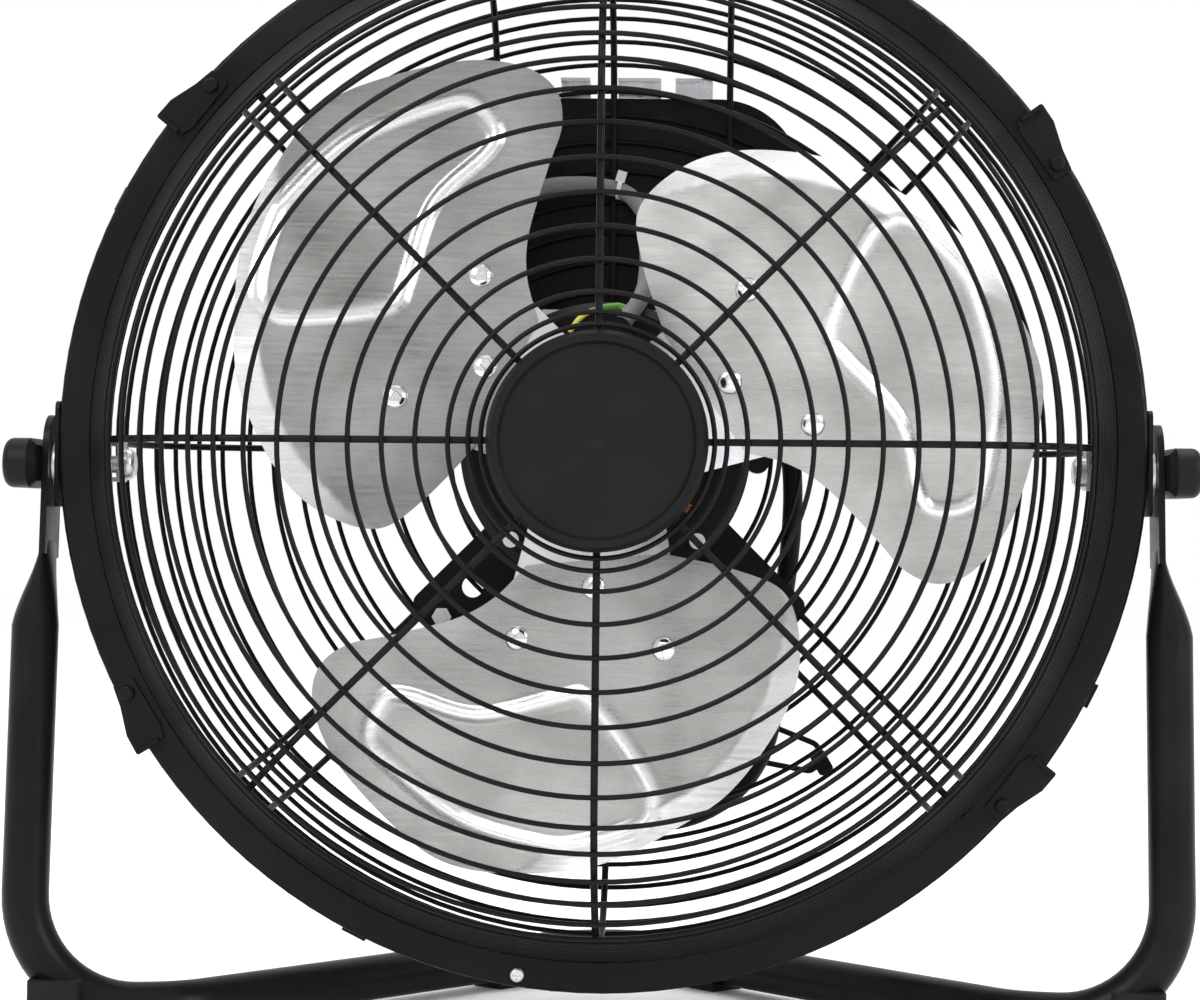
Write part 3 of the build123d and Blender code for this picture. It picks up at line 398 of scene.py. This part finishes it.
# Strain relief, tapered and ribbed, from the box down to where the cord comes out
relief_right, relief_low, relief_back = cord_route[0]
relief_length = 22
relief_top = at(relief_right, relief_low + relief_length, relief_back)
relief_end = at(relief_right, relief_low, relief_back)
relief_radius, relief_taper, relief_groove = 0.0055, 0.0013, 0.0005
relief_bands = 22
ribbed_from, ribbed_to = 0.25, 0.95
relief_steps = 66
relief_path, relief_radii = [], []
for step in range(relief_steps + 1):
    share = step / relief_steps
    relief_path.append(relief_top.lerp(relief_end, share))
    groove = relief_groove if ribbed_from < share < ribbed_to and int(share * relief_bands) % 2 else 0
    relief_radii.append(relief_radius - relief_taper * share - groove)
relief = add_piece(
    "strain_relief", tube_mesh("strain_relief", relief_path, relief_radii, 24), "head",
    looks["black_rubber"], ("cord_gland",),
)


# Blades: pressed sheet, with a rolled lip along the leading edge and a kidney-shaped bead
blade_sheet = 1.2
blade_base, blade_slope, blade_bend = 6.0, 0.249, 1800
blade_outline = [
    (36, 24), (40, 49), (47.5, 66), (68, 71.5), (88.8, 66.9), (112, 53), (125.6, 37.7), (142.4, 10),
    (149, -20), (147.7, -45.1), (137, -64), (116.4, -86.1), (98, -96), (84, -95.5), (75, -86),
    (70.4, -70.4), (62.9, -47.4), (54.5, -34.1), (43, -24),
]
blade_heart = (98, -12)
crease = radians(40)
lip_band = 10.0
lip_rise = 2.4
# Strength of the painted highlight on the lip.
lip_painted_highlight = 0.9
lip_ends = (-14, 12, 104, 128)
bead_half = 3.6
bead_flat = 0.4
bead_rise = 1.5
bead_loop = [
    (104.3, -75.7), (92.8, -71.5), (91, -63), (96, -38), (88, -10), (86.8, -1), (97.6, 10.3), (112.8, 22),
    (120, 24.5), (129, 20.5), (137, 0), (138, -14), (131.6, -42.4), (113, -70.5),
]


def lift(across):
    """How far forward of the rim's middle a blade lies, at a distance across it."""
    return blade_base + blade_slope * across + across**2 / blade_bend


def rounded_outline(corners, steps=16, straight_end=True):
    """A closed smooth line through the corners, which may be straight from the last to the first."""
    points = []
    count = len(corners)
    for place in range(count - 1 if straight_end else count):
        around = [max(place - 1, 0), place, place + 1, min(place + 2, count - 1)]
        if not straight_end:
            around = [(place + step) % count for step in (-1, 0, 1, 2)]
        p0, p1, p2, p3 = (Vector(corners[number]) for number in around)
        for step in range(steps):
            t = step / steps
            points.append(0.5 * (
                2 * p1 + (p2 - p0) * t + (2 * p0 - 5 * p1 + 4 * p2 - p3) * t**2
                + (3 * p1 - p0 - 3 * p2 + p3) * t**3
            ))
    if straight_end:
        last, first = Vector(corners[-1]), Vector(corners[0])
        for step in range(steps):
            points.append(last.lerp(first, step / steps))
    return points


def closest_on(place, first, last):
    """Distance from a place to a straight run."""
    run = last - first
    share = min(1, max(0, (place - first).dot(run) / run.length_squared))
    return (place - first - run * share).length


def bead_height(place, loop):
    """The kidney-shaped bead: a round ridge that follows a closed loop in the blade's outer part."""
    off = min(closest_on(place, first, last) for first, last in zip(loop, loop[1:] + loop[:1]))
    return bead_rise * (1 - ease(off, bead_flat, bead_half))


def blade_mesh(name, angle):
    """Both faces of a blade and its edge, from rings that shrink from the outline."""
    outline = rounded_outline(blade_outline)
    loop = rounded_outline(bead_loop, 5, False)
    heart = Vector(blade_heart)
    shares = [1, 0.994, 0.98, 0.96, 0.94, 0.92] + [0.9 - 0.02 * step for step in range(45)]
    count = len(outline)
    turn = radians(angle)
    front, back, painted_highlight = [], [], []
    for share in shares:
        for point in outline:
            place = heart + (point - heart) * share
            edge = (point - place).length
            bearing = degrees(atan2(point.y - heart.y, point.x - heart.x))
            leading = ease(bearing, *lip_ends[:2]) * (1 - ease(bearing, *lip_ends[2:]))
            rise = lip_rise * leading * max(0, 1 - edge / (lip_band * max(leading, 0.1)))
            bead = bead_height(place, loop)
            rise += bead
            # Painted highlight on the rolled lip and on the bead, kept as a point attribute for the blade
            # material.
            in_lip = leading * (1 - ease(edge, lip_band * leading * 0.9, lip_band * leading + 0.4))
            painted_highlight.append(max(in_lip * lip_painted_highlight, bead / bead_rise))
            right, up = around_axle(place.x, place.y, turn)
            forward = lift(place.y) + rise
            front.append(at(right, up, -forward - blade_sheet))
            back.append(at(right, up, -forward))
    middle = []
    for rows in (front, back):
        last = rows[-count:]
        middle.append(sum(last, Vector()) / count)
    points = front + back + middle
    faces = []
    offset = len(front)
    for ring in range(len(shares) - 1):
        for step in range(count):
            here, there = ring * count, (ring + 1) * count
            side = (step + 1) % count
            face = (here + step, here + side, there + side, there + step)
            faces.append(face)
            faces.append(tuple(offset + face[corner] for corner in (0, 3, 2, 1)))
    last_ring = (len(shares) - 1) * count
    for step in range(count):
        side = (step + 1) % count
        faces.append((last_ring + step, last_ring + side, 2 * offset))
        faces.append((offset + last_ring + side, offset + last_ring + step, 2 * offset + 1))
        faces.append((step, offset + step, offset + side, side))
    mesh = smooth_mesh(name, points, faces)
    mesh.attributes.new("painted_highlight", "FLOAT", "POINT").data.foreach_set("value", painted_highlight * 2 + [0, 0])
    work = bmesh.new()
    work.from_mesh(mesh)
    bmesh.ops.recalc_face_normals(work, faces=work.faces)
    for edge in work.edges:
        edge.smooth = edge.calc_face_angle(0) < crease
    work.to_mesh(mesh)
    work.free()
    return mesh


for number, angle in enumerate(blade_angles, start=1):
    add_piece(
        f"pressed_blade_{number}", blade_mesh(f"pressed_blade_{number}", angle), "rotor",
        blade_metal, (f"blade_{number}",),
    )


# Wire cages: round rings welded on spokes, each cage one piece of round wire
wire, spoke, hoop = 0.9, 1.25, 1.6
spoke_inset = wire + spoke
badge_rings = [30, 38.5]
rear_edge_rings = [171, 174]
ring_radii = [42.6, 49.3, 60.1, 71.1, 82.3, 93.8, 105.5, 116.6, 126.6, 135.3, 144.8, 152.7, 160.3, 166.1]
front_flat, front_turn, front_bend = -57.4, 117, 60
rear_flat, rear_turn, rear_bend = 84.1, 118, 58
front_wall = [(168, -29), (175.8, -9.5)]
front_wall_rings = 7
rear_wall_rings = [(175.1, 32), (176.5, 22.5), (177.4, 14.5)]
front_hoop = (178, -5.2)
rear_hoop = (178.7, 9.2)
diagonals = [45, 135, 225, 315]


def dome(radius, flat, turn, bend):
    """Depth of a cage ring, which is flat out to a turn and then on an arc towards the rim."""
    reach = max(radius - turn, 0)
    rise = bend - sqrt(bend**2 - reach**2)
    return flat + rise if flat < 0 else flat - rise


def dome_rings(radii, flat, turn, bend):
    """Rings on a cage's face, as (radius, back, thickness)."""
    return [(radius, dome(radius, flat, turn, bend), wire) for radius in radii]


def rounded_corner(start, corner, end, radius, steps=14):
    """A path of two straight runs that are joined by an arc."""
    start, corner, end = Vector(start), Vector(corner), Vector(end)
    run_in, run_out = (start - corner).normalized(), (end - corner).normalized()
    opening = acos(run_in.dot(run_out))
    tangent = radius / (sin(opening / 2) / cos(opening / 2))
    middle = corner + (run_in + run_out).normalized() * radius / sin(opening / 2)
    first, last = corner + run_in * tangent, corner + run_out * tangent
    points = [start]
    for step in range(steps + 1):
        arm = (first - middle).lerp(last - middle, step / steps).normalized() * radius
        points.append(middle + arm)
    return points + [end]


def wire_cage(name, rings, spokes, node):
    """Rings as (radius, back, thickness), and spokes as lists of points, in one curve."""
    data = bpy.data.curves.new(name, "CURVE")
    data.dimensions = "3D"
    data.bevel_depth = wire * mm
    data.bevel_resolution = 3
    data.use_fill_caps = True
    ring_steps = 128
    for radius, back, thick in rings:
        spline = data.splines.new("POLY")
        spline.points.add(ring_steps - 1)
        spline.use_cyclic_u = True
        spline.use_smooth = True
        for step, control in enumerate(spline.points):
            turn = tau * step / ring_steps
            control.co = (*at(radius * cos(turn), radius * sin(turn), back), 1)
            control.radius = thick / wire
    for path in spokes:
        spline = data.splines.new("POLY")
        spline.points.add(len(path) - 1)
        spline.use_smooth = True
        for control, point in zip(spline.points, path):
            control.co = (*point, 1)
            control.radius = spoke / wire
    return add_piece(name, data, "head", black, (node,))


def spoke_path(angle, aside, corners, bend):
    """A bent spoke at an angle and an offset beside the axis, from its (outwards, back) corners."""
    turn = radians(angle)
    points = []
    for outwards, back in rounded_corner(*corners, bend - spoke_inset):
        points.append(at(*around_axle(outwards, aside, turn), back))
    return points


front_rings = dome_rings(badge_rings + ring_radii, front_flat, front_turn, front_bend)
for step in range(front_wall_rings):
    share = step / (front_wall_rings - 1)
    radius, back = Vector(front_wall[0]).lerp(Vector(front_wall[1]), share)
    front_rings.append((radius, back, wire))
front_rings.append((*front_hoop, hoop))
front_plane = front_flat + spoke_inset
front_corners = [(24, front_plane), (154, front_plane), (175.3, -5.5)]
front_spokes = [spoke_path(45 * step, 0, front_corners, front_bend) for step in range(8)]
wire_cage("front_wire_cage", front_rings, front_spokes, "front_grille")

rear_rings = dome_rings(ring_radii + rear_edge_rings, rear_flat, rear_turn, rear_bend)
rear_rings += [(radius, back, wire) for radius, back in rear_wall_rings]
rear_rings.append((*rear_hoop, hoop))
rear_wires = [(angle, 0, 38) for angle in (0, 180, 270, 90)] + [(90, 43.5, 52), (90, -43.5, 52)]
for diagonal in diagonals:
    rear_wires += [(diagonal, 8, 40), (diagonal, -8, 40)]
rear_plane = rear_flat - spoke_inset
rear_end, rear_end_back = 176, 9.6
rear_spokes = []
for angle, aside, inner in rear_wires:
    reach, end = sqrt(ring_radii[-1]**2 - aside**2), sqrt(rear_end**2 - aside**2)
    corners = [(inner, rear_plane), (reach, rear_plane), (end, rear_end_back)]
    rear_spokes.append(spoke_path(angle, aside, corners, rear_bend))
wire_cage("rear_wire_cage", rear_rings, rear_spokes, "rear_grille")


# Rivets with smooth domed heads, on the blades' faces
rivet_places = [(49, 0), (68.4, 25.6), (68.4, -25.6)]
rivet_head, rivet_rise, rivet_low = 4.3, 1.9, -3.6
rivet_shank = 2.0


def turned_mesh(name, profile, places, steps=28):
    """Round pieces in one mesh. The profile is (radius, height) from its middle to its other end."""
    points, faces = [], []
    for centre, axis in places:
        start = len(points)
        across = axis.orthogonal().normalized()
        other = axis.cross(across)
        for radius, height in profile:
            for step in range(steps):
                turn = tau * step / steps
                ring = radius * mm * (cos(turn) * across + sin(turn) * other)
                points.append(centre + ring + height * mm * axis)
        for row in range(len(profile) - 1):
            for step in range(steps):
                here, side = start + row * steps + step, start + row * steps + (step + 1) % steps
                faces.append((here, side, side + steps, here + steps))
        faces.append(tuple(start + step for step in reversed(range(steps))))
        faces.append(tuple(start + (len(profile) - 1) * steps + step for step in range(steps)))
    return smooth_mesh(name, points, faces)


def domed(radius, rise, low, steps=8):
    """Profile of a domed head on a short shank that starts at low."""
    under, tip = -0.05, 0.02
    profile = [(rivet_shank, low), (rivet_shank, under), (radius, under)]
    for step in range(steps + 1):
        bearing = radians(90 * step / steps)
        profile.append((radius * cos(bearing) + tip, rise * sin(bearing)))
    return profile


rivet_spots = []
for angle in blade_angles:
    turn = radians(angle)
    for outwards, across in rivet_places:
        slope = blade_slope + 2 * across / blade_bend
        right, up = around_axle(outwards, across, turn)
        normal = Vector((slope * sin(turn), -1, -slope * cos(turn))).normalized()
        rivet_spots.append((at(right, up, -lift(across)) + normal * blade_sheet * mm, normal))
rivet_mesh = turned_mesh("domed_rivets", domed(rivet_head, rivet_rise, rivet_low), rivet_spots)
add_piece("domed_rivets", rivet_mesh, "rotor", shiny_zinc, ("blade_rivets",))


# Dial on the switch box: printed numbers round the knob
print_stand_off = 0.0001
dial_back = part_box("switch_box_cover")[1].y + print_stand_off
dial_middle = Vector(joints["speed_turn"]["pos_m"])
dial_radius = 0.0195
dial_angles = (90, 40, -10, -60)
number_height = 0.007
facing_back = Matrix(((-1, 0, 0, 0), (0, 0, 1, 0), (0, 1, 0, 0), (0, 0, 0, 1)))
print_white = moulded("dial_print", (0.75, 0.75, 0.73), 0.5)
for number, angle in enumerate(dial_angles):
    turn = radians(angle)
    text = bpy.data.curves.new(f"dial_number_{number}", "FONT")
    text.body = str(number)
    text.size = number_height
    text.extrude = 0.00006
    text.align_x = "CENTER"
    text.align_y = "CENTER"
    right = dial_middle.x - cos(turn) * dial_radius
    up = dial_middle.z + sin(turn) * dial_radius
    place = Matrix.Translation(Vector((right, dial_back, up))) @ facing_back
    add_piece(f"dial_number_{number}", text, "head", print_white, place=place)


# Handle grip: a soft sleeve with rings round it
grip_low, grip_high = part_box("handle_grip")
grip_middle = (grip_low + grip_high) / 2
grip_half = grip_high.x - grip_middle.x
grip_radius = grip_high.z - grip_middle.z
grip_path, grip_radii = [], []
grip_rows = 148
groove_depth, groove_span = 0.0007, 0.86
end_round, end_start = 0.002, 0.945
for step in range(grip_rows + 1):
    share = 2 * step / grip_rows - 1
    grip_path.append(grip_middle + Vector((share * grip_half, 0, 0)))
    groove = groove_depth if abs(share) < groove_span and step % 8 in (3, 4) else 0
    into_end = max(0, (abs(share) - end_start) / (1 - end_start))
    end = end_round * (1 - sqrt(max(0, 1 - into_end**2)))
    grip_radii.append(grip_radius - groove - end)
add_piece(
    "ribbed_grip", tube_mesh("ribbed_grip", grip_path, grip_radii, 40), "head",
    looks["black_rubber"], ("handle_grip",),
)


# Stage: a pale floor, and soft lights
def stage_material():
    material = bpy.data.materials.new("stage")
    material.use_nodes = True
    shader = material.node_tree.nodes["Principled BSDF"]
    shader.inputs["Base Color"].default_value = (0.97, 0.97, 0.97, 1)
    shader.inputs["Roughness"].default_value = 0.8
    return material


half = 6.0
floor_corners = [(-half, -half, 0), (half, -half, 0), (half, half, 0), (-half, half, 0)]
floor_mesh = bpy.data.meshes.new("floor")
floor_mesh.from_pydata(floor_corners, [], [(0, 1, 2, 3)])
floor = bpy.data.objects.new("floor", floor_mesh)
scene.collection.objects.link(floor)
floor_mesh.materials.append(stage_material())

world = bpy.data.worlds.new("world")
scene.world = world
scene.view_settings.view_transform = "Standard"
world.use_nodes = True
world.node_tree.nodes["Background"].inputs["Color"].default_value = (1, 1, 1, 1)
world.node_tree.nodes["Background"].inputs["Strength"].default_value = 1.0


def soft_light(name, place, size, power):
    """A square light that points at the fan."""
    data = bpy.data.lights.new(name, "AREA")
    data.shape = "SQUARE"
    data.size = size
    data.energy = power
    light = bpy.data.objects.new(name, data)
    light.location = place
    light.rotation_euler = (axle - Vector(place)).to_track_quat("-Z", "Y").to_euler()
    scene.collection.objects.link(light)


soft_light("key", (-0.9, -1.5, 1.5), 1.0, 22)
soft_light("fill", (1.5, -0.9, 0.9), 0.8, 14)
soft_light("top", (0.1, 0.3, 1.8), 1.2, 14)
